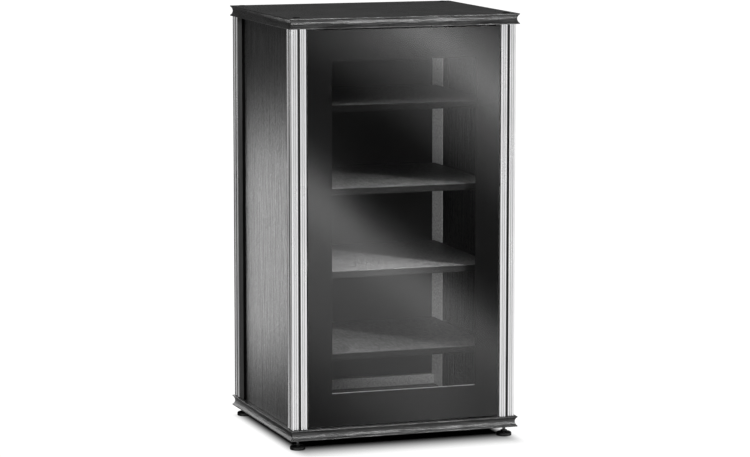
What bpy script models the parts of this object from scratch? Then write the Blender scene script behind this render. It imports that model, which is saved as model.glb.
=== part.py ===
"""Media cabinet: two coved slabs tied together by four slotted aluminium posts, with side
panels, a back, four fixed shelves, an inset smoked-glass door on pivot pins and levelling feet.

Frame: +Z up, the door faces -Y, +X is the door's free edge. The origin is on the floor, under
the middle of the cabinet. All sizes are in metres.
"""

import math

import bmesh
import bpy

# Overall sizes
WIDTH = 0.590
DEPTH = 0.504
SLAB_SPAN = 1.027  # underside of the base slab to the top of the top slab
SLAB = 0.026  # thickness of the top and base slabs
FOOT_HEIGHT = 0.025  # floor to the base slab's underside
GAP = 0.0003  # between pieces that touch
RUNNING = 0.0001  # round a shaft that turns or slides in its hole

# Coved edge of the slabs
ARRIS = 0.0030
COVE_LEDGE = 0.0010
COVE_DEPTH = 0.0042

# Slotted posts
POST = 0.038
POST_INSET_X = 0.007
POST_INSET_FRONT = 0.009
POST_INSET_BACK = 0.004
POST_CORNER = 0.0012
SLOT_OPENING = 0.0066
SLOT_LIP = 0.0026
SLOT_INSIDE = 0.0150
SLOT_FLOOR = 0.0080
SLOT_DEPTH = 0.0090
TONGUE_REACH = 0.0070  # how far a panel's tongue goes into a slot
TONGUE_PLAY = 0.0003  # on each side of a tongue

# Side panels, stiles and back
PANEL_RECESS = 0.0060
SHADOW_GAP = 0.0040  # left open between a side panel and its stile
STILE = 0.038
COVER = 0.0017  # trim that faces the rear post and stile on the inside
COVER_RIB_REACH = 0.0050
BACK_THICKNESS = 0.0034
SILL_HEIGHT = 0.026
SILL_DEPTH = 0.016

# Shelves
SHELVES = 4
SHELF_PITCH = 0.203
FIRST_SHELF_TOP = 0.1775  # above the cabinet floor
SHELF_THICKNESS = 0.0165
SHELF_SETBACK = 0.0415  # shelf front edge behind the slab's front edge
SHELF_BACK_GAP = 0.0220  # cable gap between shelf and back panel
SHELF_SIDE_PLAY = 0.0010
RAIL_METAL = 0.0025
RAIL_LEDGE = 0.0150  # how far a rail reaches under a shelf

# Door
GLASS = 0.005
DOOR_SIDE_GAP = 0.0022
DOOR_END_GAP = 0.0030
PIVOT_INSET = 0.0200  # pin axis to the glass's hinge edge
PIVOT_BEHIND = 0.0035  # pin axis behind the glass's rear face
PIN_RADIUS = 0.0024
PIN_REACH = 0.0100  # length of pin inside the slab
BUSH_WALL = 0.0022
BUSH_FLANGE = 0.0010
BUSH_FLANGE_WIDTH = 0.0020
LEAF_WIDTH = 0.044
LEAF_HEIGHT = 0.034
LEAF_METAL = 0.0020
KNUCKLE = 0.0030

# Push latch
LATCH_FROM_EDGE = 0.034  # plunger axis to the glass's free edge
LATCH_WIDTH = 0.018
LATCH_LENGTH = 0.056
PLUNGER_RADIUS = 0.0045
PLUNGER_HEAD = 0.0065
PLUNGER_HEAD_LENGTH = 0.0030
PLUNGER_TRAVEL = 0.0030
PLUNGER_INSIDE = 0.030
STRIKE_WIDTH = 0.022
STRIKE_METAL = 0.0015

# Tie rods, caps and feet
ROD_RADIUS = 0.0040
ROD_HOLE_PLAY = 0.0005
ROD_HEAD_RADIUS = 0.0070
ROD_HEAD = 0.0050
CAP_RADIUS = 0.0090
CAP_DOME = 0.0018  # stands above the slab
CAP_PLUG = 0.0035
NUT_RADIUS = 0.0065
NUT_FLANGE_RADIUS = 0.0110
NUT_FLANGE = 0.0020
NUT_ROOF = 0.0050  # board left over the nut
ROD_ABOVE_STEM = 0.0055  # room for the foot to screw in
FOOT_RADIUS = 0.0190
FOOT_PAD = 0.0110
FOOT_BOSS_RADIUS = 0.0080
FOOT_BOSS = 0.0035
STEM_RADIUS = 0.0040
STEM_IN_NUT = 0.0100
SOCKET_FLOOR = 0.0040
BACK_SCREW_RADIUS = 0.0045
BACK_SCREW_HEAD = 0.0014
BACK_SCREW_SHANK = 0.0020
BACK_SCREW_LENGTH = 0.0100
BACK_SCREW_FROM_END = 0.060

# Places worked out from the sizes above
BASE_LOW = FOOT_HEIGHT
BASE_HIGH = BASE_LOW + SLAB
TOP_HIGH = FOOT_HEIGHT + SLAB_SPAN
TOP_LOW = TOP_HIGH - SLAB
LOW = BASE_HIGH + GAP
HIGH = TOP_LOW - GAP
POST_X = WIDTH / 2 - POST_INSET_X - POST / 2
FRONT_POST_Y = -DEPTH / 2 + POST_INSET_FRONT + POST / 2
REAR_POST_Y = DEPTH / 2 - POST_INSET_BACK - POST / 2
INNER_X = POST_X - POST / 2  # inner face of the posts
PANEL_FRONT_Y = FRONT_POST_Y + POST / 2
STILE_BACK_Y = REAR_POST_Y - POST / 2
STILE_FRONT_Y = STILE_BACK_Y - STILE
POST_BACK_Y = REAR_POST_Y + POST / 2
COVER_FACE_X = INNER_X - GAP - COVER
TONGUE = SLOT_OPENING / 2 - TONGUE_PLAY
PANEL_INNER_X = POST_X - TONGUE  # the tongue is flush with the panel's inner face

DOOR_LEFT = -INNER_X + DOOR_SIDE_GAP
DOOR_RIGHT = INNER_X - DOOR_SIDE_GAP
DOOR_FRONT_Y = FRONT_POST_Y - POST / 2
DOOR_BACK_Y = DOOR_FRONT_Y + GLASS
DOOR_LOW = BASE_HIGH + DOOR_END_GAP
DOOR_HIGH = TOP_LOW - DOOR_END_GAP
PIVOT_X = DOOR_LEFT + PIVOT_INSET
PIVOT_Y = DOOR_BACK_Y + PIVOT_BEHIND
BUSH_RADIUS = PIN_RADIUS + RUNNING + BUSH_WALL
NUT_LENGTH = SLAB - NUT_ROOF

SIDES = {"left": -1, "right": 1}
ENDS = {"front": FRONT_POST_Y, "rear": REAR_POST_Y}
CORNERS = {f"{end}_{side}": (x * POST_X, y) for end, y in ENDS.items() for side, x in SIDES.items()}
ROUND = 16  # sides of a small round piece


# ---------------------------------------------------------------- helpers


def clear_scene():
    for thing in list(bpy.data.objects):
        bpy.data.objects.remove(thing)


def finish_material(name, colour, roughness, metallic=0.0, alpha=1.0):
    made = bpy.data.materials.new(name)
    made.use_nodes = True
    shader = made.node_tree.nodes["Principled BSDF"]
    shader.inputs["Base Color"].default_value = (*colour, 1.0)
    shader.inputs["Roughness"].default_value = roughness
    shader.inputs["Metallic"].default_value = metallic
    shader.inputs["Alpha"].default_value = alpha
    return made


def place(name, bm, made_of, smooth=False, at=(0, 0, 0)):
    """Makes the named object from a bmesh, with its faces pointing out, and its origin at a point."""
    bmesh.ops.remove_doubles(bm, verts=bm.verts, dist=1e-6)
    bmesh.ops.recalc_face_normals(bm, faces=bm.faces)
    mesh = bpy.data.meshes.new(name)
    bm.to_mesh(mesh)
    bm.free()
    if smooth:
        mesh.shade_smooth()
        mesh.set_sharp_from_angle(angle=math.radians(35))
    if made_of:
        mesh.materials.append(made_of)
    made = bpy.data.objects.new(name, mesh)
    made.location = at
    bpy.context.scene.collection.objects.link(made)
    return made


def prism(name, outline, low, high, made_of, bore=0.0, smooth=False):
    """An upright extrusion of an outline, given as (x, y) points, with a round bore at its own centre."""
    bm = bmesh.new()
    corners = [bm.verts.new((x, y, low)) for x, y in outline]
    edges = [bm.edges.new((a, b)) for a, b in zip(corners, corners[1:] + corners[:1])]
    if bore:
        ring = bmesh.ops.create_circle(bm, segments=ROUND, radius=bore)["verts"]
        for vert in ring:
            vert.co.z = low
        edges += list({edge for vert in ring for edge in vert.link_edges})
        bmesh.ops.triangle_fill(bm, edges=edges, use_beauty=True, use_dissolve=False)
    else:
        bm.faces.new(corners)
    grown = bmesh.ops.extrude_face_region(bm, geom=list(bm.faces))["geom"]
    bmesh.ops.translate(
        bm, vec=(0, 0, high - low), verts=[v for v in grown if isinstance(v, bmesh.types.BMVert)]
    )
    return place(name, bm, made_of, smooth)


def block(name, low, high, made_of):
    """A rectangular piece between two opposite corners."""
    outline = [(low[0], low[1]), (high[0], low[1]), (high[0], high[1]), (low[0], high[1])]
    return prism(name, outline, low[2], high[2], made_of)


def turned(name, profile, at, made_of, sides=ROUND):
    """A piece turned on an upright axis. The profile is (radius, height) points, axis to axis or a ring."""
    bm = bmesh.new()
    points = [bm.verts.new((radius, 0, height)) for radius, height in profile]
    pairs = list(zip(points, points[1:]))
    if profile[0][0] > 0:
        pairs.append((points[-1], points[0]))
    edges = [bm.edges.new(pair) for pair in pairs]
    bmesh.ops.spin(
        bm,
        geom=points + edges,
        cent=(0, 0, 0),
        axis=(0, 0, 1),
        angle=2 * math.pi,
        steps=sides,
        use_merge=True,
    )
    return place(name, bm, made_of, smooth=True, at=at)


def cut(target, cutter):
    """Cuts the target with a helper, which stays hidden."""
    cutter.hide_render = True
    cutter.display_type = "WIRE"
    boolean = target.modifiers.new(cutter.name, "BOOLEAN")
    boolean.operation = "DIFFERENCE"
    boolean.object = cutter


def add(target, piece):
    """Welds a helper's shape onto the target, and hides the helper."""
    piece.hide_render = True
    piece.display_type = "WIRE"
    boolean = target.modifiers.new(piece.name, "BOOLEAN")
    boolean.operation = "UNION"
    boolean.object = piece


# ---------------------------------------------------------------- slabs


def cove_profile():
    """(inset, height) down a slab's edge: a thin flat, a ledge, a hollow round cove, and the same again."""
    chord = SLAB - 2 * ARRIS
    radius = (chord**2 / 4 + COVE_DEPTH**2) / (2 * COVE_DEPTH)
    half_angle = math.asin(chord / 2 / radius)
    steps = 8
    hollow = []
    for step in range(steps + 1):
        angle = half_angle * (2 * step / steps - 1)
        inset = COVE_LEDGE + COVE_DEPTH - radius * (1 - math.cos(angle))
        hollow.append((inset, SLAB / 2 + radius * math.sin(angle)))
    return [(0, 0), (0, ARRIS), *hollow, (0, SLAB - ARRIS), (0, SLAB)]


def slab(name, low, made_of):
    """A board with the coved edge mitred round all four sides."""
    bm = bmesh.new()
    rings = []
    for inset, height in cove_profile():
        x, y = WIDTH / 2 - inset, DEPTH / 2 - inset
        corners = [(-x, -y), (x, -y), (x, y), (-x, y)]
        rings.append([bm.verts.new((a, b, low + height)) for a, b in corners])
    for below, above in zip(rings, rings[1:]):
        for i in range(4):
            j = (i + 1) % 4
            bm.faces.new((below[i], below[j], above[j], above[i]))
    bm.faces.new(rings[0][::-1])
    bm.faces.new(rings[-1])
    return place(name, bm, made_of)


def stepped_hole(name, steps, at):
    """A round cutter, from (radius, low, high) steps that run upward."""
    profile = [(0, steps[0][1])]
    for radius, low, high in steps:
        profile += [(radius, low), (radius, high)]
    profile.append((0, steps[-1][2]))
    return turned(name, profile, at, None)


def make_slabs(wood):
    top = slab("top_panel", TOP_LOW, wood)
    base = slab("base_panel", BASE_LOW, wood)
    through = 0.002  # how far a cutter runs past the face it leaves
    rod_hole = ROD_RADIUS + ROD_HOLE_PLAY
    plug_hole = CAP_RADIUS + GAP
    plug_floor = SLAB - CAP_PLUG - ROD_HEAD - 2 * GAP  # seat of the rod's head
    nut_hole = NUT_RADIUS + GAP
    flange_hole = NUT_FLANGE_RADIUS + GAP
    for corner, (x, y) in CORNERS.items():
        steps = [(rod_hole, -through, plug_floor), (plug_hole, plug_floor, SLAB + through)]
        cut(top, stepped_hole(f"cut_top_{corner}", steps, (x, y, TOP_LOW)))
        steps = [
            (flange_hole, -through, NUT_FLANGE + GAP),
            (nut_hole, NUT_FLANGE + GAP, NUT_LENGTH + GAP),
            (rod_hole, NUT_LENGTH + GAP, SLAB + through),
        ]
        cut(base, stepped_hole(f"cut_base_{corner}", steps, (x, y, BASE_LOW)))
    bush_hole = BUSH_RADIUS + GAP
    depth = PIN_REACH + 2 * GAP
    steps = [(bush_hole, -through, depth)]
    cut(top, stepped_hole("cut_top_bush", steps, (PIVOT_X, PIVOT_Y, TOP_LOW)))
    steps = [(bush_hole, -depth, through)]
    cut(base, stepped_hole("cut_base_bush", steps, (PIVOT_X, PIVOT_Y, BASE_HIGH)))


# ---------------------------------------------------------------- posts, panels, back


def post_outline():
    """One side of the square section with its T slot and corner, turned four times."""
    half = POST / 2
    side = [
        (-SLOT_OPENING / 2, -half),
        (-SLOT_OPENING / 2, SLOT_LIP - half),
        (-SLOT_INSIDE / 2, SLOT_LIP - half),
        (-SLOT_FLOOR / 2, SLOT_DEPTH - half),
        (SLOT_FLOOR / 2, SLOT_DEPTH - half),
        (SLOT_INSIDE / 2, SLOT_LIP - half),
        (SLOT_OPENING / 2, SLOT_LIP - half),
        (SLOT_OPENING / 2, -half),
    ]
    centre = half - POST_CORNER
    for step in range(4):
        angle = -math.pi / 2 + step * math.pi / 6
        side.append((centre + POST_CORNER * math.cos(angle), -centre + POST_CORNER * math.sin(angle)))
    outline = []
    for turn in range(4):
        c, s = (1, 0, -1, 0)[turn], (0, 1, 0, -1)[turn]
        outline += [(x * c - y * s, x * s + y * c) for x, y in side]
    return outline


def make_posts(aluminium):
    for corner, (x, y) in CORNERS.items():
        name = f"post_{corner}"
        post = prism(name, post_outline(), LOW, HIGH, aluminium, bore=ROD_RADIUS + ROD_HOLE_PLAY)
        post.location = (x, y, 0)


def make_sides(ash, trim):
    """Side panel, rear stile and inner cover on each side. Each outline is drawn for the right side."""
    outer = WIDTH / 2 - POST_INSET_X
    panel_outer = outer - PANEL_RECESS
    tongue_outer = POST_X + TONGUE
    front, back = PANEL_FRONT_Y + GAP, STILE_FRONT_Y - SHADOW_GAP
    panel = [
        (PANEL_INNER_X, front - TONGUE_REACH),
        (tongue_outer, front - TONGUE_REACH),
        (tongue_outer, front),
        (panel_outer, front),
        (panel_outer, back),
        (tongue_outer, back),
        (tongue_outer, STILE_FRONT_Y + TONGUE_REACH),
        (PANEL_INNER_X, STILE_FRONT_Y + TONGUE_REACH),
    ]
    groove = TONGUE + TONGUE_PLAY
    groove_floor = STILE_FRONT_Y + TONGUE_REACH + GAP
    stile_back = STILE_BACK_Y - GAP
    stile = [
        (INNER_X, STILE_FRONT_Y),
        (POST_X - groove, STILE_FRONT_Y),
        (POST_X - groove, groove_floor),
        (POST_X + groove, groove_floor),
        (POST_X + groove, STILE_FRONT_Y),
        (outer, STILE_FRONT_Y),
        (outer, stile_back),
        (POST_X + TONGUE, stile_back),
        (POST_X + TONGUE, stile_back + TONGUE_REACH),
        (POST_X - TONGUE, stile_back + TONGUE_REACH),
        (POST_X - TONGUE, stile_back),
        (INNER_X, stile_back),
    ]
    cover_back = INNER_X - GAP
    rib = TONGUE
    cover = [
        (COVER_FACE_X, STILE_FRONT_Y),
        (cover_back, STILE_FRONT_Y),
        (cover_back, REAR_POST_Y - rib),
        (cover_back + COVER_RIB_REACH, REAR_POST_Y - rib),
        (cover_back + COVER_RIB_REACH, REAR_POST_Y + rib),
        (cover_back, REAR_POST_Y + rib),
        (cover_back, POST_BACK_Y),
        (COVER_FACE_X, POST_BACK_Y),
    ]
    for side, sign in SIDES.items():
        for name, outline, made_of in (
            ("side_panel", panel, ash),
            ("rear_stile", stile, ash),
            ("rear_cover", cover, trim),
        ):
            points = [(sign * x, y) for x, y in outline][::sign]
            prism(f"{name}_{side}", points, LOW, HIGH, made_of)


def make_back(dark, trim, steel):
    """Back panel screwed over the rear posts, and the light sill along its foot on the inside."""
    back = POST_BACK_Y + GAP
    half = WIDTH / 2 - POST_INSET_X
    panel = block("back_panel", (-half, back, LOW), (half, back + BACK_THICKNESS, HIGH), dark)
    sill = COVER_FACE_X - GAP
    block(
        "rear_sill",
        (-sill, POST_BACK_Y - SILL_DEPTH, LOW),
        (sill, POST_BACK_Y, LOW + SILL_HEIGHT),
        trim,
    )
    heights = {"lower": LOW + BACK_SCREW_FROM_END, "upper": HIGH - BACK_SCREW_FROM_END}
    seat = BACK_SCREW_HEAD + GAP  # the heads sit in shallow recesses, flush with the panel
    profile = [
        (0, 0),
        (BACK_SCREW_RADIUS, 0),
        (BACK_SCREW_RADIUS, -BACK_SCREW_HEAD),
        (BACK_SCREW_SHANK, -BACK_SCREW_HEAD),
        (BACK_SCREW_SHANK, -BACK_SCREW_LENGTH),
        (0, -BACK_SCREW_LENGTH),
    ]
    hole = [
        (BACK_SCREW_SHANK + GAP, -BACK_THICKNESS - seat, -seat),
        (BACK_SCREW_RADIUS + GAP, -seat, seat),
    ]
    for side, sign in SIDES.items():
        for level, height in heights.items():
            at = (sign * POST_X, back + BACK_THICKNESS, height)
            screw = turned(f"back_screw_{level}_{side}", profile, at, steel, sides=16)
            cutter = stepped_hole(f"cut_back_{level}_{side}", hole, at)
            for piece in (screw, cutter):
                piece.rotation_euler.x = -math.pi / 2
            cut(panel, cutter)


# ---------------------------------------------------------------- shelves


def make_shelves(board, steel):
    """Each shelf lies on two folded rails that run from the front post to the rear stile."""
    shelf_half = COVER_FACE_X - SHELF_SIDE_PLAY
    front = -DEPTH / 2 + SHELF_SETBACK
    back = POST_BACK_Y - SHELF_BACK_GAP
    wall = PANEL_INNER_X - GAP
    ledge = shelf_half - RAIL_LEDGE
    flange_in = INNER_X + GAP
    rail_front, rail_back = PANEL_FRONT_Y + GAP, STILE_FRONT_Y - GAP
    for number in range(1, SHELVES + 1):
        top = BASE_HIGH + FIRST_SHELF_TOP + (number - 1) * SHELF_PITCH
        under = top - SHELF_THICKNESS
        block(f"shelf_{number}", (-shelf_half, front, under), (shelf_half, back, top), board)
        ledge_top = under - GAP
        for side, sign in SIDES.items():
            rail = rail_body(f"shelf_rail_{number}_{side}", sign, wall, ledge, ledge_top, steel)
            for end, y in (("front", rail_front), ("back", rail_back - RAIL_METAL)):
                xs = sorted((sign * flange_in, sign * (wall - RAIL_METAL / 2)))
                low = (xs[0], y, ledge_top - RAIL_METAL / 2)
                high = (xs[1], y + RAIL_METAL, top)
                add(rail, block(f"weld_{end}_{number}_{side}", low, high, None))


def rail_body(name, sign, wall, ledge, ledge_top, steel):
    """An angle along Y: the upright leg against the side panel and the ledge under the shelf."""
    xs = [wall, wall, wall - RAIL_METAL, wall - RAIL_METAL, ledge, ledge]
    upright_top = ledge_top + SHELF_THICKNESS + GAP
    zs = [ledge_top - RAIL_METAL, upright_top, upright_top, ledge_top, ledge_top, ledge_top - RAIL_METAL]
    bm = bmesh.new()
    y0, y1 = PANEL_FRONT_Y + GAP, STILE_FRONT_Y - GAP
    face = bm.faces.new([bm.verts.new((sign * x, y0, z)) for x, z in zip(xs, zs)])
    grown = bmesh.ops.extrude_face_region(bm, geom=[face])["geom"]
    bmesh.ops.translate(
        bm, vec=(0, y1 - y0, 0), verts=[v for v in grown if isinstance(v, bmesh.types.BMVert)]
    )
    return place(name, bm, steel)


# ---------------------------------------------------------------- door, pivots and latch


def make_door(glass, steel, plastic):
    """The glass swings on two pins behind its left edge. The empty stands on the pin axis."""
    pivot = bpy.data.objects.new("door_pivot", None)
    pivot.location = (PIVOT_X, PIVOT_Y, 0)
    bpy.context.scene.collection.objects.link(pivot)
    swinging = [
        block(
            "door_glass",
            (DOOR_LEFT, DOOR_FRONT_Y, DOOR_LOW),
            (DOOR_RIGHT, DOOR_BACK_Y, DOOR_HIGH),
            glass,
        )
    ]
    for level, edge, outward in (("lower", DOOR_LOW, -1), ("upper", DOOR_HIGH, 1)):
        inner = edge - outward * LEAF_HEIGHT
        low, high = sorted((edge, inner))
        leaf = block(
            f"door_hinge_{level}",
            (DOOR_LEFT + GAP, DOOR_BACK_Y + GAP, low),
            (DOOR_LEFT + LEAF_WIDTH, DOOR_BACK_Y + GAP + LEAF_METAL, high),
            steel,
        )
        tip = edge + outward * (DOOR_END_GAP + PIN_REACH)
        # Turned upward from the knuckle's inner end, and mirrored for the lower pin.
        profile = [
            (0, inner),
            (KNUCKLE, inner),
            (KNUCKLE, edge),
            (PIN_RADIUS, edge),
            (PIN_RADIUS, tip),
            (0, tip),
        ]
        add(leaf, turned(f"weld_pin_{level}", profile, (PIVOT_X, PIVOT_Y, 0), None))
        swinging.append(leaf)
        slab_face = edge + outward * DOOR_END_GAP
        sleeve = PIN_RADIUS + RUNNING
        flange_face = slab_face - outward * BUSH_FLANGE
        sleeve_end = slab_face + outward * PIN_REACH
        seat = slab_face - outward * GAP
        ring = [
            (sleeve, flange_face),
            (BUSH_RADIUS + BUSH_FLANGE_WIDTH, flange_face),
            (BUSH_RADIUS + BUSH_FLANGE_WIDTH, seat),
            (BUSH_RADIUS, seat),
            (BUSH_RADIUS, sleeve_end),
            (sleeve, sleeve_end),
        ]
        turned(f"pivot_bush_{level}", ring, (PIVOT_X, PIVOT_Y, 0), plastic)

    latch_x = DOOR_RIGHT - LATCH_FROM_EDGE
    latch_z = TOP_LOW - GAP - LATCH_WIDTH / 2
    strike_back = DOOR_BACK_Y + GAP + STRIKE_METAL
    swinging.append(
        block(
            "strike_plate",
            (latch_x - STRIKE_WIDTH / 2, DOOR_BACK_Y + GAP, DOOR_HIGH - STRIKE_WIDTH),
            (latch_x + STRIKE_WIDTH / 2, strike_back, DOOR_HIGH - DOOR_END_GAP),
            steel,
        )
    )
    bpy.context.view_layer.update()
    for piece in swinging:
        piece.parent = pivot
        piece.matrix_parent_inverse = pivot.matrix_world.inverted()

    head_front = strike_back + GAP
    body_front = head_front + PLUNGER_HEAD_LENGTH + PLUNGER_TRAVEL + GAP
    body = block(
        "latch_body",
        (latch_x - LATCH_WIDTH / 2, body_front, latch_z - LATCH_WIDTH / 2),
        (latch_x + LATCH_WIDTH / 2, body_front + LATCH_LENGTH, latch_z + LATCH_WIDTH / 2),
        plastic,
    )
    # Both are turned about +Z and laid down, so that a profile height becomes a distance back in Y.
    inside = PLUNGER_HEAD_LENGTH + PLUNGER_TRAVEL + PLUNGER_INSIDE
    profile = [
        (0, 0),
        (PLUNGER_HEAD, 0),
        (PLUNGER_HEAD, PLUNGER_HEAD_LENGTH),
        (PLUNGER_RADIUS, PLUNGER_HEAD_LENGTH),
        (PLUNGER_RADIUS, inside),
        (0, inside),
    ]
    plunger = turned("latch_plunger", profile, (latch_x, head_front, latch_z), plastic)
    bore = [(PLUNGER_RADIUS + RUNNING, PLUNGER_HEAD_LENGTH, inside + PLUNGER_TRAVEL + GAP)]
    cutter = stepped_hole("cut_latch", bore, (latch_x, head_front, latch_z))
    for piece in (plunger, cutter):
        piece.rotation_euler.x = -math.pi / 2
    cut(body, cutter)


# ---------------------------------------------------------------- tie rods, caps and feet


def make_fasteners(steel, plastic, foot_metal):
    """Under each corner: cap, tie rod through the post, coupling nut, and a screwed levelling foot."""
    head_low = TOP_HIGH - CAP_PLUG - ROD_HEAD - GAP
    nut_top = BASE_LOW + NUT_LENGTH
    rod_end = BASE_LOW + STEM_IN_NUT + ROD_ABOVE_STEM
    for corner, (x, y) in CORNERS.items():
        at = (x, y, 0)
        cap = [
            (0, TOP_HIGH - CAP_PLUG),
            (CAP_RADIUS, TOP_HIGH - CAP_PLUG),
            (CAP_RADIUS, TOP_HIGH + CAP_DOME * 0.5),
            (CAP_RADIUS * 0.8, TOP_HIGH + CAP_DOME),
            (0, TOP_HIGH + CAP_DOME),
        ]
        turned(f"bolt_cap_{corner}", cap, at, plastic)
        rod = [
            (0, rod_end),
            (ROD_RADIUS, rod_end),
            (ROD_RADIUS, head_low),
            (ROD_HEAD_RADIUS, head_low),
            (ROD_HEAD_RADIUS, head_low + ROD_HEAD),
            (0, head_low + ROD_HEAD),
        ]
        turned(f"tie_rod_{corner}", rod, at, steel)
        thread = ROD_RADIUS + RUNNING
        nut = [
            (thread, BASE_LOW),
            (NUT_FLANGE_RADIUS, BASE_LOW),
            (NUT_FLANGE_RADIUS, BASE_LOW + NUT_FLANGE),
            (NUT_RADIUS, BASE_LOW + NUT_FLANGE),
            (NUT_RADIUS, nut_top),
            (thread, nut_top),
        ]
        turned(f"coupling_nut_{corner}", nut, at, steel)
        stem = [
            (0, SOCKET_FLOOR + GAP),
            (STEM_RADIUS, SOCKET_FLOOR + GAP),
            (STEM_RADIUS, BASE_LOW + STEM_IN_NUT),
            (0, BASE_LOW + STEM_IN_NUT),
        ]
        turned(f"foot_stem_{corner}", stem, at, steel)
        socket = STEM_RADIUS + RUNNING
        edge = 0.001
        pad = [
            (0, 0),
            (FOOT_RADIUS - edge, 0),
            (FOOT_RADIUS, edge),
            (FOOT_RADIUS, FOOT_PAD - edge),
            (FOOT_RADIUS - edge, FOOT_PAD),
            (FOOT_BOSS_RADIUS + edge, FOOT_PAD),
            (FOOT_BOSS_RADIUS, FOOT_PAD + FOOT_BOSS),
            (socket, FOOT_PAD + FOOT_BOSS),
            (socket, SOCKET_FLOOR),
            (0, SOCKET_FLOOR),
        ]
        turned(f"foot_pad_{corner}", pad, at, foot_metal, sides=24)


clear_scene()
ash_black = finish_material("ash_black", (0.045, 0.045, 0.045), 0.45)
aluminium = finish_material("aluminium_satin", (0.80, 0.80, 0.80), 0.32, metallic=1.0)
cover_trim = finish_material("aluminium_trim", (0.70, 0.70, 0.70), 0.40, metallic=1.0)
panel_dark = finish_material("panel_dark", (0.02, 0.02, 0.02), 0.6)
shelf_black = finish_material("shelf_black", (0.04, 0.04, 0.04), 0.5)
smoked = finish_material("glass_smoked", (0.03, 0.03, 0.03), 0.05, alpha=0.55)
steel_dark = finish_material("steel_dark", (0.10, 0.10, 0.10), 0.4, metallic=1.0)
plastic_black = finish_material("plastic_black", (0.02, 0.02, 0.02), 0.5)
foot_black = finish_material("foot_black", (0.015, 0.015, 0.015), 0.45)

make_slabs(ash_black)
make_posts(aluminium)
make_sides(ash_black, cover_trim)
make_back(panel_dark, cover_trim, steel_dark)
make_shelves(shelf_black, steel_dark)
make_door(smoked, steel_dark, plastic_black)
make_fasteners(steel_dark, plastic_black, foot_black)
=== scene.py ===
"""The looks of a media cabinet: black ash slabs, side panels and stiles, satin aluminium
posts, laminate shelves and a smoked-glass door, built piece by piece round its CAD frame.
"""

import math

import bmesh
import bpy
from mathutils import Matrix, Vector


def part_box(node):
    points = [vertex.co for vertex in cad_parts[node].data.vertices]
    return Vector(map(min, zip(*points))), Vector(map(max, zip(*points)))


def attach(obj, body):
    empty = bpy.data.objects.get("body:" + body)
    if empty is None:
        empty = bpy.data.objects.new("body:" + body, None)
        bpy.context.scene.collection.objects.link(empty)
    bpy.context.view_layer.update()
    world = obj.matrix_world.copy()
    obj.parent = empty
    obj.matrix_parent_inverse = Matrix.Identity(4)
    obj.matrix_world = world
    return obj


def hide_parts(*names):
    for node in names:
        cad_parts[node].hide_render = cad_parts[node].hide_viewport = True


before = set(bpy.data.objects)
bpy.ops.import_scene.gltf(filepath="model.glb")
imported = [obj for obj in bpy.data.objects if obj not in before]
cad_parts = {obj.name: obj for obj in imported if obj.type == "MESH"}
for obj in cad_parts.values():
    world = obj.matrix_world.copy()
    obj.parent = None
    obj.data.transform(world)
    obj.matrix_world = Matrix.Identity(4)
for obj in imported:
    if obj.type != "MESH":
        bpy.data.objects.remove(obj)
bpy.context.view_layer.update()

# ------------------------------------------------------------------ base slab and top slab
# Two 26 mm boards veneered in black-stained ash under satin lacquer. A hollow moulding runs
# along all four edges and is mitred at the corners. Both are bored at the corners for the tie
# rods that clamp the posts between them, and once for a bush of the door's pivots.

CORNERS = ("front_left", "front_right", "rear_left", "rear_right")
MOULDING_FLAT = 0.0030  # square edge left above and below the hollow
MOULDING_STEP = 0.0010
MOULDING_DEPTH = 0.0042
SANDED_EDGE = 0.0006
SANDED_MITRE = 0.0009
MITRE_POINTS = 5
HOLE_SIDES = 40
FIT = 0.0003  # slack round a piece in its hole
WELD = 0.000001  # points nearer than this are one point


def new_finish(name, roughness, metallic=0.0):
    """An empty finish: the material, its node tree and its shader."""
    finish = bpy.data.materials.new(name)
    finish.use_nodes = True
    shader = finish.node_tree.nodes["Principled BSDF"]
    shader.inputs["Roughness"].default_value = roughness
    shader.inputs["Metallic"].default_value = metallic
    return finish, finish.node_tree, shader


def grey(level):
    return (level, level, level, 1)


def cloudy(tree, size, detail=3.0, roughness=0.55):
    """A noise from 0 to 1 whose cells measure size along X, Y and Z, in metres."""
    place = tree.nodes.new("ShaderNodeTexCoord")
    scaled = tree.nodes.new("ShaderNodeMapping")
    noise = tree.nodes.new("ShaderNodeTexNoise")
    scaled.inputs["Scale"].default_value = [1 / length for length in size]
    noise.inputs["Scale"].default_value = 1.0
    noise.inputs["Detail"].default_value = detail
    noise.inputs["Roughness"].default_value = roughness
    tree.links.new(place.outputs["Object"], scaled.inputs["Vector"])
    tree.links.new(scaled.outputs["Vector"], noise.inputs["Vector"])
    return noise.outputs[0]


def spread(tree, value, low, high, to_low, to_high):
    """Stretches the part of a value between low and high over to_low to to_high."""
    node = tree.nodes.new("ShaderNodeMapRange")
    node.interpolation_type = "SMOOTHSTEP"
    for socket, number in zip(list(node.inputs)[1:5], (low, high, to_low, to_high)):
        socket.default_value = number
    tree.links.new(value, node.inputs["Value"])
    return node.outputs["Result"]


def tinted(tree, factor, first, second):
    """A colour between two, by a factor."""
    node = tree.nodes.new("ShaderNodeMix")
    node.data_type = "RGBA"
    tree.links.new(factor, node.inputs[0])
    node.inputs[6].default_value = first
    node.inputs[7].default_value = second
    return node.outputs[2]


def relief(tree, shader, heights):
    """Raises the surface by each (height value, depth in metres), one on top of another."""
    last = None
    for height, depth in heights:
        node = tree.nodes.new("ShaderNodeBump")
        node.inputs["Strength"].default_value = 1.0
        node.inputs["Distance"].default_value = depth
        tree.links.new(height, node.inputs["Height"])
        if last:
            tree.links.new(last, node.inputs["Normal"])
        last = node.outputs["Normal"]
    tree.links.new(last, shader.inputs["Normal"])


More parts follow.
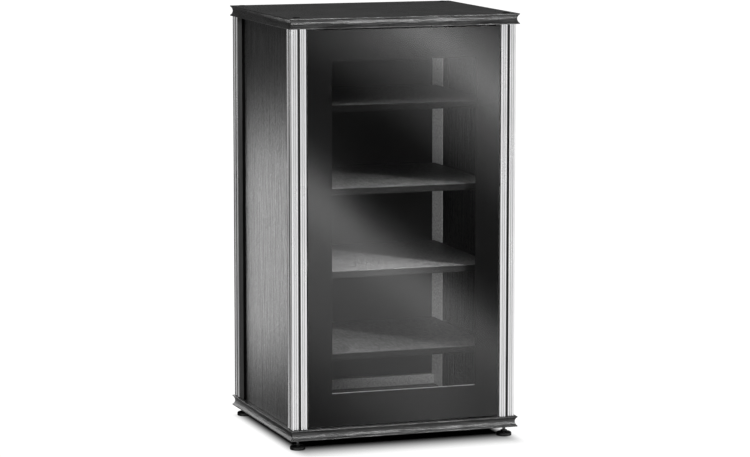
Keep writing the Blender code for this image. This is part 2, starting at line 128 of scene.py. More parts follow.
def combined(tree, first, second, operation="ADD"):
    """One arithmetic step between two values, each a socket or a number."""
    node = tree.nodes.new("ShaderNodeMath")
    node.operation = operation
    for socket, value in zip(node.inputs, (first, second)):
        if isinstance(value, bpy.types.NodeSocket):
            tree.links.new(value, socket)
        else:
            socket.default_value = value
    return node.outputs[0]


def product(tree, first, *others):
    for other in others:
        first = combined(tree, first, other, "MULTIPLY")
    return first


def black_ash(name, along, roughness=0.30, dark=0.012, pale=0.034):
    """Open-grained ash veneer, stained black and lacquered, its grain along X, Y or Z (0, 1, 2)."""
    finish, tree, shader = new_finish(name, roughness)

    def grain(width, length, detail):
        size = [width, width, width]
        size[along] = length
        return cloudy(tree, size, detail)

    bands = grain(0.012, 0.11, 2.0)
    streaks = grain(0.0036, 0.060, 3.0)
    pores = grain(0.0007, 0.012, 2.0)
    figure = spread(tree, product(tree, combined(tree, bands, streaks), 0.5), 0.40, 0.60, 0, 1)
    tree.links.new(tinted(tree, figure, grey(dark), grey(pale)), shader.inputs["Base Color"])
    low, high = roughness - 0.07, roughness + 0.09
    tree.links.new(spread(tree, pores, 0.3, 0.7, low, high), shader.inputs["Roughness"])
    relief(tree, shader, [(bands, 0.0025), (streaks, 0.0014), (pores, 0.00012)])
    return finish


def quarter_turn(steps, first=0):
    """(sine, cosine) pairs at even steps round a quarter turn, from its first step to its end."""
    turns = [math.pi / 2 * step / steps for step in range(first, steps + 1)]
    return [(math.sin(turn), math.cos(turn)) for turn in turns]


def ring_of(bm, x, y, radius, height, sides=HOLE_SIDES):
    turns = [2 * math.pi * step / sides for step in range(sides)]
    return [bm.verts.new((x + radius * math.cos(a), y + radius * math.sin(a), height)) for a in turns]


def wall_between(bm, first, second):
    """Quads between two closed rows of as many points, and the new faces in order."""
    count = len(first)
    return [
        bm.faces.new((first[i], first[(i + 1) % count], second[(i + 1) % count], second[i]))
        for i in range(count)
    ]


def edges_of(bm, row):
    """The edges of a closed row of points, made where there are none yet."""
    pairs = [(row[i - 1], row[i]) for i in range(len(row))]
    return [bm.edges.get(pair) or bm.edges.new(pair) for pair in pairs]


def as_piece(name, bm, finishes, body, nodes, crease=30):
    """Turns a mesh into a shaded piece that rides on a body in place of CAD nodes."""
    bmesh.ops.remove_doubles(bm, verts=bm.verts, dist=WELD)
    bmesh.ops.recalc_face_normals(bm, faces=bm.faces)
    mesh = bpy.data.meshes.new(name)
    bm.to_mesh(mesh)
    bm.free()
    mesh.shade_smooth()
    mesh.set_sharp_from_angle(angle=math.radians(crease))
    for finish in finishes:
        mesh.materials.append(finish)
    piece = bpy.data.objects.new(name, mesh)
    bpy.context.scene.collection.objects.link(piece)
    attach(piece, body)
    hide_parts(*nodes)
    return piece


def moulding(thickness):
    """(inset, height) points up a slab's edge: sanded flat, step, hollow, step, sanded flat."""
    chord = thickness - 2 * MOULDING_FLAT
    radius = (chord**2 / 4 + MOULDING_DEPTH**2) / (2 * MOULDING_DEPTH)
    reach = math.asin(chord / 2 / radius)
    inner = MOULDING_FLAT - SANDED_EDGE
    lower = [(SANDED_EDGE * (1 - sine), SANDED_EDGE * (1 - cosine)) for sine, cosine in quarter_turn(3)]
    lower += [(SANDED_EDGE * (1 - cosine), inner + SANDED_EDGE * sine) for sine, cosine in quarter_turn(2)]
    upper = [(inset, thickness - height) for inset, height in reversed(lower)]
    hollow = []
    for step in range(21):
        turn = reach * (step / 10 - 1)
        inset = MOULDING_STEP + MOULDING_DEPTH - radius * (1 - math.cos(turn))
        hollow.append((inset, thickness / 2 + radius * math.sin(turn)))
    return lower + hollow + upper


def plan_of(bm, half_x, half_y, height):
    """A slab's outline at one height, with its mitred corners barely rounded."""
    row = []
    for number, (sign_x, sign_y) in enumerate(((-1, -1), (1, -1), (1, 1), (-1, 1))):
        for step in range(MITRE_POINTS):
            turn = math.pi + math.pi / 2 * (number + step / (MITRE_POINTS - 1))
            x = sign_x * (half_x - SANDED_MITRE) + SANDED_MITRE * math.cos(turn)
            y = sign_y * (half_y - SANDED_MITRE) + SANDED_MITRE * math.sin(turn)
            row.append(bm.verts.new((x, y, height)))
    return row


def moulded_slab(name, node, bores, finishes):
    """A slab with its mouldings and its bores, each a list of (x, y, radius, height) from the top."""
    low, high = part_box(node)
    half_x, half_y = (high.x - low.x) / 2, (high.y - low.y) / 2
    edge = moulding(high.z - low.z)
    bm = bmesh.new()
    rows = [plan_of(bm, half_x - inset, half_y - inset, low.z + up) for inset, up in edge]
    for lower, upper in zip(rows, rows[1:]):
        for number, face in enumerate(wall_between(bm, lower, upper)):
            corner, step = divmod(number, MITRE_POINTS)
            run = corner if step >= MITRE_POINTS // 2 else corner - 1
            face.material_index = run % 2
    rims = {low.z: edges_of(bm, rows[0]), high.z: edges_of(bm, rows[-1])}
    for steps in bores:
        rings = [ring_of(bm, *step) for step in steps]
        for upper, lower in zip(rings, rings[1:]):
            wall_between(bm, upper, lower)
        for ring in (rings[0], rings[-1]):
            level = ring[0].co.z
            flush = [height for height in rims if abs(height - level) < WELD]
            if flush:
                rims[flush[0]] += edges_of(bm, ring)
            else:
                bm.faces.new(ring)
    for rim in rims.values():
        bmesh.ops.triangle_fill(bm, edges=rim, use_beauty=True, use_dissolve=False)
    return as_piece(name, bm, finishes, "cabinet", [node])


def radius_of(node):
    low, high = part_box(node)
    return (high.x - low.x) / 2


def middle_of(node):
    low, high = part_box(node)
    return (low + high) / 2


ash_along_x = black_ash("black_ash_along_x", 0, dark=0.007, pale=0.022)
ash_along_y = black_ash("black_ash_along_y", 1, dark=0.007, pale=0.022)

base_low, base_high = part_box("base_panel")
top_low, top_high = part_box("top_panel")
ROD_HOLE = 0.0045
ROD_HEAD_SEAT = 0.0169  # above the top slab's underside
NUT_FLANGE = 0.0023
NUT_BODY_HOLE = 0.0068

top_bores, base_bores = [], []
for corner in CORNERS:
    x, y = middle_of(f"bolt_cap_{corner}").xy
    cap_hole = radius_of(f"bolt_cap_{corner}") + FIT
    seat = top_low.z + ROD_HEAD_SEAT
    steps = [(cap_hole, top_high.z), (cap_hole, seat), (ROD_HOLE, seat), (ROD_HOLE, top_low.z)]
    top_bores.append([(x, y, *step) for step in steps])
    flange_hole = radius_of(f"coupling_nut_{corner}") + FIT
    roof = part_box(f"coupling_nut_{corner}")[1].z + FIT
    ledge = base_low.z + NUT_FLANGE
    steps = [(ROD_HOLE, base_high.z), (ROD_HOLE, roof), (NUT_BODY_HOLE, roof)]
    steps += [(NUT_BODY_HOLE, ledge), (flange_hole, ledge), (flange_hole, base_low.z)]
    base_bores.append([(x, y, *step) for step in steps])

BUSH_HOLE = 0.0050
bush_x, bush_y = middle_of("pivot_bush_upper").xy
bush_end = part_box("pivot_bush_upper")[1].z + FIT
top_bores.append([(bush_x, bush_y, BUSH_HOLE, height) for height in (bush_end, top_low.z)])
bush_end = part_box("pivot_bush_lower")[0].z - FIT
base_bores.append([(bush_x, bush_y, BUSH_HOLE, height) for height in (base_high.z, bush_end)])

moulded_slab("base_slab", "base_panel", base_bores, [ash_along_x, ash_along_y])
moulded_slab("top_slab", "top_panel", top_bores, [ash_along_x, ash_along_y])

# ------------------------------------------------------------------ four slotted posts
# Lengths of 38 mm aluminium extrusion, satin anodised, with a T slot down each face, fine
# flutes either side of it and a bore for the tie rod. The panels' tongues stand in the slots.

SLOT_MOUTH = 0.0066
SLOT_LIP = 0.0026
SLOT_INSIDE = 0.0150
SLOT_FLOOR = 0.0080
SLOT_DEPTH = 0.0090
LIP_ROUND = 0.0004
POST_CORNER = 0.0012
POST_BORE = 0.0045
FLUTES = 2
FLUTE_WIDTH = 0.0025
FLUTE_DEPTH = 0.0011
FLUTE_STEPS = 6


def satin_aluminium(name, shade, roughness, run=2):
    """Anodised aluminium with the faint lines that an extrusion die leaves along its run."""
    finish, tree, shader = new_finish(name, roughness, metallic=1.0)
    size = [0.0006, 0.0006, 0.0006]
    size[run] = 0.25
    lines = cloudy(tree, size, 2.0)
    frost = cloudy(tree, (0.0005, 0.0005, 0.0005), 1.0)
    patches = cloudy(tree, (0.05, 0.05, 0.12), 2.0)
    dull = (shade * 0.93, shade * 0.93, shade * 0.94, 1)
    tree.links.new(tinted(tree, lines, dull, grey(shade)), shader.inputs["Base Color"])
    low, high = roughness - 0.04, roughness + 0.05
    tree.links.new(spread(tree, patches, 0.3, 0.7, low, high), shader.inputs["Roughness"])
    relief(tree, shader, [(lines, 0.0000015), (frost, 0.000002)])
    return finish


def post_section(width):
    """The post's outline: one face with its flutes, slot and corner, turned four times."""
    half = width / 2
    mouth = SLOT_MOUTH / 2
    land = half - POST_CORNER - mouth
    flutes = []
    for number in range(FLUTES):
        centre = mouth + land * (number + 1) / (FLUTES + 1)
        for step in range(FLUTE_STEPS + 1):
            across = centre + FLUTE_WIDTH * (step / FLUTE_STEPS - 0.5)
            flutes.append((across, -half + FLUTE_DEPTH * math.sin(math.pi * step / FLUTE_STEPS)))
    lip = []
    for sine, cosine in quarter_turn(3):
        lip.append((mouth + LIP_ROUND * (1 - cosine), -half + LIP_ROUND * (1 - sine)))
    inside = [(SLOT_FLOOR / 2, SLOT_DEPTH - half), (SLOT_INSIDE / 2, SLOT_LIP - half)]
    inside.append((mouth, SLOT_LIP - half))
    right = inside + lip + flutes
    face = [(-across, y) for across, y in reversed(right)] + right
    centre = half - POST_CORNER
    for sine, cosine in quarter_turn(5):
        face.append((centre + POST_CORNER * sine, -centre - POST_CORNER * cosine))
    outline = []
    for cosine, sine in ((1, 0), (0, 1), (-1, 0), (0, -1)):
        outline += [(x * cosine - y * sine, x * sine + y * cosine) for x, y in face]
    return outline


post_metal = satin_aluminium("satin_aluminium_post", 0.96, 0.30)
# The flute and slot finishes are darker copies of the post's metal: painted shade in its grooves and slots.
flute_metal_painted_shade = satin_aluminium("satin_aluminium_flute_painted_shade", 0.60, 0.36)
slot_metal_painted_shade = satin_aluminium("slot_aluminium_painted_shade", 0.18, 0.45)
post_finishes = [post_metal, flute_metal_painted_shade, slot_metal_painted_shade]
for corner in CORNERS:
    node = f"post_{corner}"
    low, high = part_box(node)
    centre = middle_of(node)
    section = post_section(high.x - low.x)
    bm = bmesh.new()
    outer, bore = [], []
    for z in (low.z, high.z):
        outer.append([bm.verts.new((centre.x + x, centre.y + y, z)) for x, y in section])
        bore.append(ring_of(bm, centre.x, centre.y, POST_BORE, z))
    # The finish of a face goes by how deep it lies: land, flute or slot. Flutes and slots take darker
    # metal, as painted shade in the grooves.
    for face in wall_between(bm, *outer):
        off = face.calc_center_median() - centre
        deep = (high.x - low.x) / 2 - max(abs(off.x), abs(off.y))
        face.material_index = (deep > FLUTE_DEPTH * 0.4) + (deep > FLUTE_DEPTH + LIP_ROUND)
    wall_between(bm, *bore)
    for outer_row, bore_row in zip(outer, bore):
        rim = edges_of(bm, outer_row) + edges_of(bm, bore_row)
        bmesh.ops.triangle_fill(bm, edges=rim, use_beauty=True, use_dissolve=False)
    as_piece(f"slotted_{node}", bm, post_finishes, "cabinet", [node])

# ------------------------------------------------------------------ side panels and rear stiles
# Boards veneered in the same black ash, with upright grain and eased edges. Each panel slides
# into the front post's slot by a tongue, and into a groove in the stile that fills the back
# corner. A shadow gap is left between the two. The stiles' forward faces are near-black:
# painted shade for the dark line beside the gap.

SIDES = ("left", "right")
EASED_BOARD = 0.0007


def eased(node, radius, finish, body="cabinet", segments=3, front=None):
    """A copy of a CAD solid with its flat faces made whole and its edges rounded off.
    The faces that look forward may have a finish of their own."""
    bm = bmesh.new()
    bm.from_mesh(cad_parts[node].data)
    bmesh.ops.remove_doubles(bm, verts=bm.verts, dist=WELD)
    bmesh.ops.dissolve_limit(bm, angle_limit=math.radians(1), verts=bm.verts, edges=bm.edges)
    bm.normal_update()
    for face in bm.faces:
        face.material_index = 1 if front and face.normal.y < -0.9 else 0
    finishes = [finish, front] if front else [finish]
    piece = as_piece(f"{node}_finished", bm, finishes, body, [node])
    bevel = piece.modifiers.new("eased_edges", "BEVEL")
    bevel.width = radius
    bevel.segments = segments
    bevel.limit_method = "ANGLE"
    bevel.angle_limit = math.radians(40)
    bevel.harden_normals = True
    return piece


def dulled(finish, level):
    """Sets how much a finish mirrors, where 0.5 is ordinary lacquer or plastic."""
    finish.node_tree.nodes["Principled BSDF"].inputs["Specular IOR Level"].default_value = level
    return finish


ash_upright = black_ash("black_ash_upright", 2)
stile_ash = dulled(black_ash("open_pored_ash_upright", 2, 0.62, 0.110, 0.150), 0.15)
# A near-black copy of the ash for the stiles' forward faces: painted shade beside the shadow gap.
stile_front_painted_shade_finish = dulled(black_ash("stile_front_painted_shade", 2, 0.7, 0.002, 0.004), 0.05)
for side in SIDES:
    eased(f"side_panel_{side}", EASED_BOARD, ash_upright)
    eased(f"rear_stile_{side}", EASED_BOARD, stile_ash, front=stile_front_painted_shade_finish)

# ------------------------------------------------------------------ inner covers of the back corners
# A thin aluminium strip with a finely grained pale face snaps into each rear post's inner slot
# by a rib, and covers the post and the stile towards the inside.


def grained_metal(name, pale, dark, roughness, metallic, cell):
    """Pale metal with a small mottled grain, as a blasted or stove-enamelled face has."""
    finish, tree, shader = new_finish(name, roughness, metallic)
    coarse = cloudy(tree, (cell, cell, cell * 1.4), 3.0, 0.7)
    fine = cloudy(tree, (cell / 4, cell / 4, cell / 4), 1.0)
    mottle = spread(tree, coarse, 0.36, 0.64, 0, 1)
    tree.links.new(tinted(tree, mottle, grey(dark), grey(pale)), shader.inputs["Base Color"])
    low, high = roughness - 0.06, roughness + 0.10
    tree.links.new(spread(tree, fine, 0.3, 0.7, low, high), shader.inputs["Roughness"])
    relief(tree, shader, [(coarse, 0.0002), (fine, 0.00006)])
    return finish


cover_metal = grained_metal("grained_aluminium_cover", 1.0, 0.50, 0.42, 0.2, 0.0042)
for side in SIDES:
    eased(f"rear_cover_{side}", 0.0003, cover_metal)

# ------------------------------------------------------------------ back panel, its screws and the sill
# A thin board painted matt black is screwed over the backs of the rear posts. Inside, along
# its foot, lies a pale sill with a fine hammered finish that closes the lowest joint.

LEVELS = ("lower", "upper")
SCREW_SHANK = 0.44  # its radius as a share of the head's
SCREW_HEAD = 0.0014  # how thick the head is
SCREW_POINT = 0.0015
ON_AXIS = 0.00001  # the radius left where a turned profile meets its axis


def painted(name, dark, worn, roughness, dimple):
    """Matt paint with a fine orange-peel skin and slightly polished patches."""
    finish, tree, shader = new_finish(name, roughness)
    patches = cloudy(tree, (0.06, 0.06, 0.06), 3.0)
    peel = cloudy(tree, (dimple, dimple, dimple), 2.0)
    tree.links.new(tinted(tree, patches, grey(dark), grey(worn)), shader.inputs["Base Color"])
    low, high = roughness - 0.08, roughness + 0.08
    tree.links.new(spread(tree, patches, 0.3, 0.7, low, high), shader.inputs["Roughness"])
    relief(tree, shader, [(peel, 0.00006)])
    return finish


def dark_steel(name, shade, roughness):
    """Blackened steel, rubbed a little brighter in fine turned or rolled lines."""
    finish, tree, shader = new_finish(name, roughness, metallic=1.0)
    rubbed = cloudy(tree, (0.004, 0.004, 0.0006), 3.0)
    tree.links.new(tinted(tree, rubbed, grey(shade), grey(shade * 1.7)), shader.inputs["Base Color"])
    low, high = roughness - 0.08, roughness + 0.08
    tree.links.new(spread(tree, rubbed, 0.3, 0.7, low, high), shader.inputs["Roughness"])
    relief(tree, shader, [(rubbed, 0.00003)])
    return finish


def turned_piece(name, profile, place, axis, finish, body, nodes, sides=48):
    """A piece turned from a (radius, height) profile about Z or backwards along Y, at a point."""
    bm = bmesh.new()
    rows = []
    for radius, height in profile:
        reach = max(radius, ON_AXIS)
        row = []
        for step in range(sides):
            turn = 2 * math.pi * step / sides
            x, y = reach * math.cos(turn), reach * math.sin(turn)
            row.append(bm.verts.new((x, y, height) if axis == "Z" else (x, -height, y)))
        rows.append(row)
    for lower, upper in zip(rows, rows[1:]):
        wall_between(bm, lower, upper)
    bm.faces.new(rows[0])
    bm.faces.new(rows[-1])
    bmesh.ops.translate(bm, vec=place, verts=bm.verts)
    return as_piece(name, bm, [finish], body, nodes)


back_paint = painted("matt_black_paint", 0.022, 0.034, 0.62, 0.0012)
# A darker copy of the paint for the back panel's inside face: painted shade for the cabinet's dim interior.
inside_paint_painted_shade = painted("matt_black_paint_inside_painted_shade", 0.004, 0.008, 0.62, 0.0012)
screw_steel = dark_steel("blackened_screw_steel", 0.10, 0.38)
eased("back_panel", 0.0004, back_paint, front=inside_paint_painted_shade)
for level in LEVELS:
    for side in SIDES:
        node = f"back_screw_{level}_{side}"
        low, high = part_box(node)
        head = radius_of(node)
        shank = head * SCREW_SHANK
        tip = high.y - low.y
        # A pan head with a shallow round well. Heights run from the head towards the tip.
        profile = [
            (head * 0.30, 0.0009),
            (head * 0.34, 0.0001),
            (head * 0.86, 0),
            (head * 0.97, 0.0002),
            (head, 0.0006),
            (head, SCREW_HEAD),
            (shank, SCREW_HEAD),
            (shank, tip - SCREW_POINT),
            (shank * 0.3, tip),
        ]
        place = (middle_of(node).x, high.y, middle_of(node).z)
        turned_piece(f"{node}_turned", profile, place, "Y", screw_steel, "cabinet", [node])

sill_enamel = grained_metal("hammered_sill_enamel", 0.90, 0.46, 0.45, 0.0, 0.0028)
eased("rear_sill", 0.0008, sill_enamel)

# ------------------------------------------------------------------ shelf rails and shelves
# Each shelf is a board faced with speckled black laminate, with a soft nose along its front
# edge. It lies on two rails folded from blackened steel and fixed between post and stile.

SHELVES = range(1, 5)  # counted upwards
NOSE = 0.0018
SHELF_EDGE = 0.0005


def laminate(name, dark, pale):
    """Melamine laminate with a cloudy speckle and a faint pearl skin."""
    finish, tree, shader = new_finish(name, 0.5)
    speckle = cloudy(tree, (0.0054, 0.022, 0.0054), 4.0, 0.75)
    skin = cloudy(tree, (0.0012, 0.0012, 0.0012), 2.0)
    mix = spread(tree, speckle, 0.38, 0.62, 0, 1)
    tree.links.new(tinted(tree, mix, grey(dark), grey(pale)), shader.inputs["Base Color"])
    tree.links.new(spread(tree, speckle, 0.3, 0.7, 0.42, 0.6), shader.inputs["Roughness"])
    relief(tree, shader, [(skin, 0.00008)])
    return finish


def shelf_section(front, back, under, top):
    """The board's outline from the side: a full nose along the front, small edges behind."""
    points = []
    corners = (
        (front, under, NOSE, math.pi),
        (back, under, SHELF_EDGE, 1.5 * math.pi),
        (back, top, SHELF_EDGE, 0.0),
        (front, top, NOSE, 0.5 * math.pi),
    )
    for y, z, radius, start in corners:
        inward_y = radius if y == front else -radius
        inward_z = radius if z == under else -radius
        for step in range(6):
            turn = start + math.pi / 2 * step / 5
            points.append((y + inward_y + radius * math.cos(turn), z + inward_z + radius * math.sin(turn)))
    return points


def laminate_board(node, finishes):
    """A shelf swept from end to end. The second finish is for its front edge."""
    low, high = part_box(node)
    section = shelf_section(low.y, high.y, low.z, high.z)
    middle = middle_of(node)
    left_end = [(low.x, SHELF_EDGE), (low.x + SHELF_EDGE, 0)]
    right_end = [(high.x - SHELF_EDGE, 0), (high.x, SHELF_EDGE)]
    bm = bmesh.new()
    rows = []
    for x, shrink in left_end + right_end:
        grow_y = 1 - 2 * shrink / (high.y - low.y)
        grow_z = 1 - 2 * shrink / (high.z - low.z)
        row = []
        for y, z in section:
            point = (x, middle.y + (y - middle.y) * grow_y, middle.z + (z - middle.z) * grow_z)
            row.append(bm.verts.new(point))
        rows.append(row)
    for first, second in zip(rows, rows[1:]):
        for face in wall_between(bm, first, second):
            centre = face.calc_center_median()
            in_front = centre.y < low.y + NOSE and centre.z < high.z - NOSE * 0.25
            face.material_index = 1 if in_front else 0
    bm.faces.new(rows[0])
    bm.faces.new(rows[-1])
    return as_piece(f"laminate_{node}", bm, finishes, "cabinet", [node])


rail_steel = dark_steel("blackened_rail_steel", 0.06, 0.45)
shelf_laminate = laminate("speckled_black_laminate", 0.026, 0.19)
shelf_edging = dulled(laminate("black_edging", 0.002, 0.005), 0.15)
for number in SHELVES:
    for side in SIDES:
        eased(f"shelf_rail_{number}_{side}", 0.0004, rail_steel)
    laminate_board(f"shelf_{number}", [shelf_laminate, shelf_edging])

# ------------------------------------------------------------------ door: glass, print, hinge leaves
# A 5 mm sheet of smoked float glass with polished edges. A broad black border is printed on its
# rear face round a square-cornered window. A fine silver line along the window's foot is a
# painted highlight, standing in for light caught at the window's lower edge. Bonded steel
# leaves carry the pivot pins, and a strike plate meets the latch.

GLASS_TINT = 0.60
GLASS_THROUGH = 0.85  # how much of the lamps' light comes through
POLISHED_EDGE = 0.0009
PRINT = 0.00012
PRINT_GAP = 0.00005
PRINT_INSET = POLISHED_EDGE * 1.2
BORDER_SIDE = 0.063
BORDER_TOP = 0.076
BORDER_FOOT = 0.081
HIGHLIGHT_LINE_HEIGHT = 0.0016


def shader_between(tree, factor, first, second):
    """Ends a finish in two shaders: the first where the factor is 0, the second where it is 1."""
    either = tree.nodes.new("ShaderNodeMixShader")
    for socket, value in zip(either.inputs, (factor, first.outputs[0], second.outputs[0])):
        tree.links.new(value, socket)
    tree.links.new(either.outputs[0], tree.nodes["Material Output"].inputs["Surface"])


def smoked_glass(name, tint, through):
    """Grey float glass, faintly smeared, that lets the lamps' light through to the shelves."""
    finish, tree, shader = new_finish(name, 0.02)
    shader.inputs["Base Color"].default_value = grey(tint)
    shader.inputs["Transmission Weight"].default_value = 1.0
    shader.inputs["IOR"].default_value = 1.5
    smears = cloudy(tree, (0.12, 0.12, 0.05), 3.0)
    tree.links.new(spread(tree, smears, 0.35, 0.75, 0.0, 0.006), shader.inputs["Roughness"])
    clear = tree.nodes.new("ShaderNodeBsdfTransparent")
    clear.inputs["Color"].default_value = grey(through)
    path = tree.nodes.new("ShaderNodeLightPath")
    shader_between(tree, path.outputs["Is Shadow Ray"], shader, clear)
    return finish


def upright_corners(bm, bounds, y):
    """The corners of an upright rectangle, from its (x0, z0, x1, z1)."""
    x0, z0, x1, z1 = bounds
    return [bm.verts.new((x, y, z)) for x, z in ((x0, z0), (x1, z0), (x1, z1), (x0, z1))]


door_glass = smoked_glass("smoked_float_glass", GLASS_TINT, GLASS_THROUGH)
hinge_steel = dark_steel("black_zinc_hinge_steel", 0.08, 0.36)
border_print = dulled(painted("black_glass_print", 0.005, 0.008, 0.5, 0.0020), 0.04)
highlight_print_painted = satin_aluminium("silver_print_painted_highlight", 1.0, 0.45, run=0)

eased("door_glass", POLISHED_EDGE, door_glass, body="door", segments=2)
low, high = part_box("door_glass")
print_near = high.y + PRINT_GAP
print_far = print_near + PRINT
outer = (low.x + PRINT_INSET, low.z + PRINT_INSET, high.x - PRINT_INSET, high.z - PRINT_INSET)
window = (low.x + BORDER_SIDE, low.z + BORDER_FOOT, high.x - BORDER_SIDE, high.z - BORDER_TOP)
bm = bmesh.new()
outer_near, outer_far = [upright_corners(bm, outer, y) for y in (print_near, print_far)]
window_near, window_far = [upright_corners(bm, window, y) for y in (print_near, print_far)]
wall_between(bm, outer_near, outer_far)
wall_between(bm, window_near, window_far)
wall_between(bm, outer_near, window_near)
wall_between(bm, outer_far, window_far)
as_piece("door_printed_border", bm, [border_print], "door", ["door_glass"])

# The silver line is a painted highlight along the window's foot.
bm = bmesh.new()
line = (window[0], window[1], window[2], window[1] + HIGHLIGHT_LINE_HEIGHT)
line_near, line_far = [upright_corners(bm, line, y) for y in (print_near, print_far)]
wall_between(bm, line_near, line_far)
bm.faces.new(line_near)
bm.faces.new(line_far)
as_piece("door_painted_highlight_line", bm, [highlight_print_painted], "door", ["door_glass"])

for level in LEVELS:
    eased(f"door_hinge_{level}", 0.0004, hinge_steel, body="door")
eased("strike_plate", 0.0003, hinge_steel, body="door")

# ------------------------------------------------------------------ pivot bushes and push latch
# Moulded black plastic. A flanged bush in each slab turns round a hinge pin, and the latch is
# a long body under the top slab with a round plunger that the closed door rests against.


def moulded_plastic(name, shade, roughness):
    """Moulded plastic with a fine spark-eroded grain."""
    finish, tree, shader = new_finish(name, roughness)
    grain = cloudy(tree, (0.0006, 0.0006, 0.0006), 2.0)
    patches = cloudy(tree, (0.02, 0.02, 0.02), 2.0)
    colour = tinted(tree, patches, grey(shade * 0.7), grey(shade * 1.4))
    tree.links.new(colour, shader.inputs["Base Color"])
    low, high = roughness - 0.07, roughness + 0.07
    tree.links.new(spread(tree, grain, 0.3, 0.7, low, high), shader.inputs["Roughness"])
    relief(tree, shader, [(grain, 0.00004)])
    return finish


BUSH_BORE = 0.0025
BUSH_ROUND = 0.0003
BUSH_STEPS = 48
black_plastic = moulded_plastic("moulded_black_plastic", 0.014, 0.42)
for level, slab_face in zip(LEVELS, (base_high.z, top_low.z)):
    node = f"pivot_bush_{level}"
    low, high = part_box(node)
    outward = -1 if level == "lower" else 1
    sleeve_end, flange_face = (low.z, high.z) if level == "lower" else (high.z, low.z)
    flange = radius_of(node)
    seat = slab_face - outward * FIT
    wall = BUSH_HOLE - FIT
    profile = [
        (BUSH_BORE, sleeve_end),
        (BUSH_BORE, flange_face + outward * BUSH_ROUND),
        (BUSH_BORE + BUSH_ROUND, flange_face),
        (flange - BUSH_ROUND, flange_face),
        (flange, flange_face + outward * BUSH_ROUND),
        (flange, seat),
        (wall, seat),
        (wall, sleeve_end - outward * BUSH_ROUND),
        (wall - BUSH_ROUND, sleeve_end),
    ]
    x, y = middle_of(node).xy
    bm = bmesh.new()
    rows = [ring_of(bm, x, y, radius, height, BUSH_STEPS) for radius, height in profile]
    for number, row in enumerate(rows):
        wall_between(bm, rows[number - 1], row)
    as_piece(f"{node}_turned", bm, [black_plastic], "cabinet", [node])

PLUNGER_HEAD = 0.0030  # how long its wide end is
PLUNGER_STALK = 0.692  # its radius as a share of the head's
PLUNGER_TAPER = 0.0012
eased("latch_body", 0.0004, black_plastic)
node = "latch_plunger"
low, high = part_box(node)
head = radius_of(node)
stalk = head * PLUNGER_STALK
tail = low.y - high.y
# Heights run from the plunger's face, at 0, back into the body.
profile = [
    (head * 0.55, -0.0003),
    (head * 0.60, 0),
    (head * 0.85, -0.0001),
    (head * 0.96, -0.0005),
    (head, -0.0012),
    (head, -PLUNGER_HEAD),
    (stalk, -PLUNGER_HEAD),
    (stalk, tail + PLUNGER_TAPER),
    (stalk * 0.6, tail),
]
place = (middle_of(node).x, low.y, middle_of(node).z)
turned_piece(f"{node}_turned", profile, place, "Y", black_plastic, "latch_button", [node])

# ------------------------------------------------------------------ tie rods, nuts, caps and feet
# At each corner a steel rod runs down through the post into a flanged nut let into the base.
# A plastic cap plugs its hole in the top, and the levelling foot screws up into the nut on a
# threaded stem that turns in the pad's boss.

THREAD_PITCH = 0.00125
THREAD_DEPTH = 0.0007
THREAD_SIDES = 32
THREAD_ROWS = 6  # in each turn of the thread
CAP_CHAMFER = 0.0004
CAP_DOME = 0.0022  # how far in from the cap's edge its shoulder reaches
PAD_ROUND = 0.0016  # round the pad's foot
PAD_SIDE = 0.0062  # the height where its side ends
PAD_SHOULDER = (0.0048, 0.0040)  # inwards and upwards from there
PAD_TOP = 0.0110
PAD_STEPS = 72
BOSS = 0.0080
BOSS_ROUND = 0.0006
SOCKET = 0.0041
SOCKET_FLOOR = 0.0040
SOCKET_ROUND = 0.0003
foot_paint = painted("black_foot_enamel", 0.006, 0.012, 0.34, 0.0030)
rod_steel = dark_steel("rolled_rod_steel", 0.30, 0.32)
cap_plastic = dulled(moulded_plastic("dull_black_cap_plastic", 0.005, 0.60), 0.1)


def threaded(node, x, y, finish, body):
    """A right-hand screw thread over a piece's whole height, with a chamfer at each end."""
    low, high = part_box(node)
    radius = radius_of(node)
    count = int((high.z - low.z) / THREAD_PITCH * THREAD_ROWS)
    bm = bmesh.new()
    rows = []
    for level in range(count + 1):
        height = low.z + (high.z - low.z) * level / count
        near_end = min(height - low.z, high.z - height)
        row = []
        for step in range(THREAD_SIDES):
            turn = 2 * math.pi * step / THREAD_SIDES
            phase = (height / THREAD_PITCH - step / THREAD_SIDES) % 1
            cut = THREAD_DEPTH * abs(2 * phase - 1)
            reach = radius - max(cut, THREAD_DEPTH - near_end)
            row.append(bm.verts.new((x + reach * math.cos(turn), y + reach * math.sin(turn), height)))
        rows.append(row)
    for lower, upper in zip(rows, rows[1:]):
        wall_between(bm, lower, upper)
    bm.faces.new(rows[0])
    bm.faces.new(rows[-1])
    return as_piece(f"{node}_threaded", bm, [finish], body, [node], crease=60)


def cap_profile(node):
    """A plug that swells to a shallow dome above the slab."""
    low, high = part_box(node)
    radius = radius_of(node)
    rim = high.z - top_high.z
    points = [(radius - CAP_CHAMFER, low.z), (radius, low.z + CAP_CHAMFER)]
    points.append((radius, top_high.z + rim * 0.25))
    for sine, cosine in quarter_turn(8, 1):
        points.append((radius - CAP_DOME * (1 - cosine), top_high.z + rim * (0.25 + 0.55 * sine)))
    for step in range(1, 7):
        share = step / 6
        swell = 0.8 + 0.2 * math.sin(share * math.pi / 2)
        points.append(((radius - CAP_DOME) * (1 - share), top_high.z + rim * swell))
    return points


